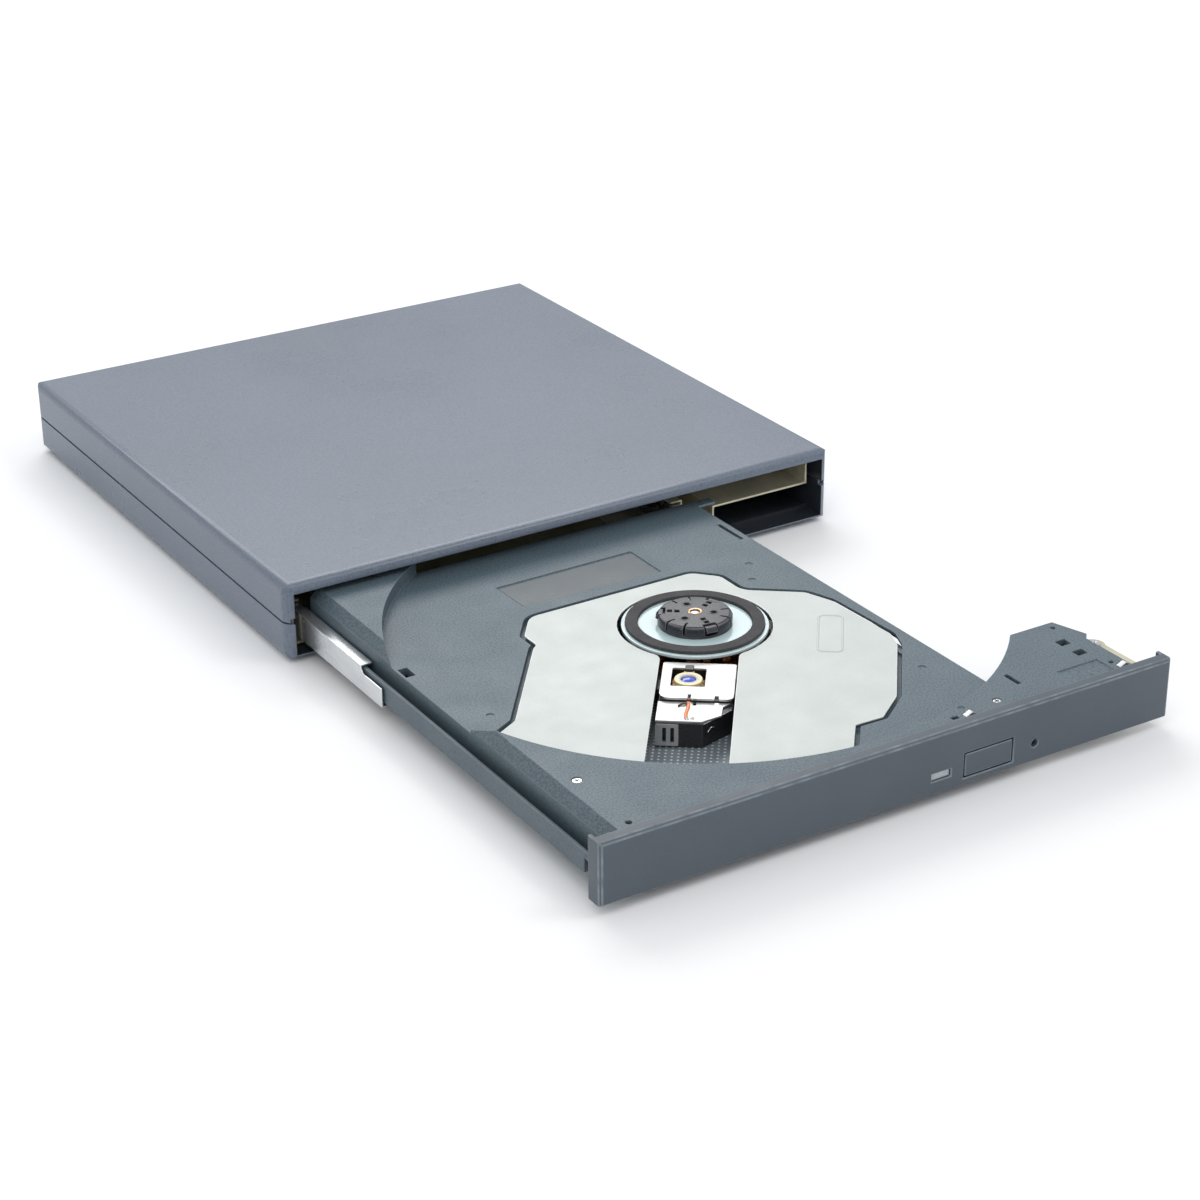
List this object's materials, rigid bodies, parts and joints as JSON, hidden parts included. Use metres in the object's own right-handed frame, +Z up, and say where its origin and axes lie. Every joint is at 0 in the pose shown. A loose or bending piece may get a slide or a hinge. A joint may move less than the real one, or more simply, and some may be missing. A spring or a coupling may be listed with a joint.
{
  "type": "external optical drive",
  "caption": "Slim external disc drive: a thin case with a tray that slides out, a spindle that clips the disc on, and a laser sled under it.",
  "frame": {"origin": "middle of the footprint with the tray fully out, on the plane that the rubber feet stand on", "axes": "+Y from the bezel towards the sockets at the back, +Z up, +X to the right seen from the bezel"},
  "size_m": [0.134, 0.25, 0.0176],
  "materials": {
    "case_plastic": "satin, fine grain",
    "bezel_plastic": "satin, fine grain",
    "tray_plastic": "spark-eroded texture",
    "black_plastic": "satin",
    "pale_plastic": "satin",
    "turntable_plastic": "gloss",
    "cream_plastic": "gloss",
    "clear_plastic": "frosted",
    "cover_metal": "satin",
    "sled_metal": "satin",
    "rail_steel": "brushed",
    "tinned_steel": "satin, warm",
    "screw_steel": "bright",
    "can_metal": "bright",
    "dark_sheet": "satin, fine dots",
    "copper": "wound",
    "circuit_board": "solder mask",
    "rubber": "matte",
    "flex_film": "film",
    "orange_film": "film",
    "lens_glass": "polished"
  },
  "bodies": {
    "root": {"top_cover": "case_plastic", "bottom_shell": "case_plastic", "rubber_feet": "rubber", "case_screws": "screw_steel", "bridge_board": "circuit_board", "bridge_chip": "black_plastic", "board_components": "can_metal", "usb_socket": "can_metal", "dc_jack": "black_plastic", "board_connector": "black_plastic", "drive_connector": "pale_plastic", "drive_chassis": "tinned_steel", "drive_lid": "rail_steel", "lid_screws": "screw_steel", "outer_rail_left": "tinned_steel", "outer_rail_right": "tinned_steel", "main_board": "circuit_board", "main_board_chips": "black_plastic", "latch_post": "screw_steel", "eject_spring": "screw_steel", "flex_cable_fixed": "flex_film"},
    "flex_loop": {"flex_cable_loop": "flex_film"},
    "rail_left": {"middle_rail_left": "rail_steel"},
    "rail_right": {"middle_rail_right": "rail_steel"},
    "plunger": {"eject_pusher": "pale_plastic"},
    "tray": {"tray": "tray_plastic", "bezel": "bezel_plastic", "light_pipe": "clear_plastic", "front_board": "circuit_board", "eject_switch": "black_plastic", "solenoid": "copper", "latch_pivot": "screw_steel", "tray_bottom_cover": "dark_sheet", "wing_plate": "tinned_steel", "cover_plate": "cover_metal", "traverse_frame": "rail_steel", "rubber_dampers": "rubber", "damper_screws": "screw_steel", "motor_stator": "copper", "guide_rod_main": "screw_steel", "guide_rod_side": "screw_steel", "feed_motor": "rail_steel", "flex_cable_tray": "flex_film"},
    "button": {"eject_button": "bezel_plastic"},
    "latch": {"latch_hook": "rail_steel"},
    "spindle": {"turntable": "turntable_plastic", "rubber_ring": "rubber", "clamp_hub": "black_plastic", "claw_springs": "screw_steel"},
    "claw_1": {"clamp_claw_1": "black_plastic"},
    "claw_2": {"clamp_claw_2": "black_plastic"},
    "claw_3": {"clamp_claw_3": "black_plastic"},
    "screw": {"lead_screw": "screw_steel"},
    "sled": {"sled_body": "black_plastic", "sled_cover": "sled_metal", "sled_plate": "sled_metal", "laser_flex": "orange_film"},
    "lens": {"lens_holder": "cream_plastic", "objective_lens": "lens_glass"}
  },
  "joints": [
    {"name": "tray_slide", "type": "slide", "parent": "root", "child": "tray", "axis": [0, 1, 0], "range_m": [0, 0.114]},
    {"name": "rail_left_slide", "type": "slide", "parent": "root", "child": "rail_left", "axis": [0, 1, 0], "range_m": [0, 0.041]},
    {"name": "rail_right_slide", "type": "slide", "parent": "root", "child": "rail_right", "axis": [0, 1, 0], "range_m": [0, 0.041]},
    {"name": "cable_roll", "type": "slide", "parent": "root", "child": "flex_loop", "axis": [0, 1, 0], "range_m": [0, 0.057]},
    {"name": "plunger_slide", "type": "slide", "parent": "root", "child": "plunger", "axis": [0, 1, 0], "range_m": [0, 0.008]},
    {"name": "spindle_spin", "type": "hinge", "parent": "tray", "child": "spindle", "pos_m": [0, -0.0577, 0.0102], "axis": [0, 0, 1], "continuous": true},
    {"name": "claw_1_slide", "type": "slide", "parent": "spindle", "child": "claw_1", "axis": [0.1196, 0.9928, 0], "range_m": [0, 0.00045], "stiffness_N_per_m": 400},
    {"name": "claw_2_slide", "type": "slide", "parent": "spindle", "child": "claw_2", "axis": [-0.9196, -0.3928, 0], "range_m": [0, 0.00045], "stiffness_N_per_m": 400},
    {"name": "claw_3_slide", "type": "slide", "parent": "spindle", "child": "claw_3", "axis": [0.8, -0.6, 0], "range_m": [0, 0.00045], "stiffness_N_per_m": 400},
    {"name": "sled_slide", "type": "slide", "parent": "tray", "child": "sled", "axis": [-0.6, -0.8, 0], "range_m": [0, 0.0335]},
    {"name": "lead_screw_turn", "type": "hinge", "parent": "tray", "child": "screw", "pos_m": [0.00176, -0.08402, 0.0072], "axis": [-0.6, -0.8, 0], "range_deg": [-1, 4025]},
    {"name": "lens_focus", "type": "slide", "parent": "sled", "child": "lens", "axis": [0, 0, 1], "range_m": [-0.0004, 0.0004], "stiffness_N_per_m": 60},
    {"name": "button_press", "type": "slide", "parent": "tray", "child": "button", "axis": [0, 1, 0], "range_m": [0, 0.0008], "stiffness_N_per_m": 900},
    {"name": "latch_turn", "type": "hinge", "parent": "tray", "child": "latch", "pos_m": [0.0504, -0.1178, 0.0099], "axis": [0, 0, 1], "range_deg": [-12, 0], "stiffness_Nm_per_rad": 0.01}
  ],
  "couplings": [
    {"joint": "rail_left_slide", "follows": "tray_slide", "ratio": 0.35965},
    {"joint": "rail_right_slide", "follows": "tray_slide", "ratio": 0.35965},
    {"joint": "cable_roll", "follows": "tray_slide", "ratio": 0.5},
    {"joint": "plunger_slide", "follows": "tray_slide", "ratio": 0.070175},
    {"joint": "lead_screw_turn", "follows": "sled_slide", "rad_per_m": 2094.4}
  ]
}
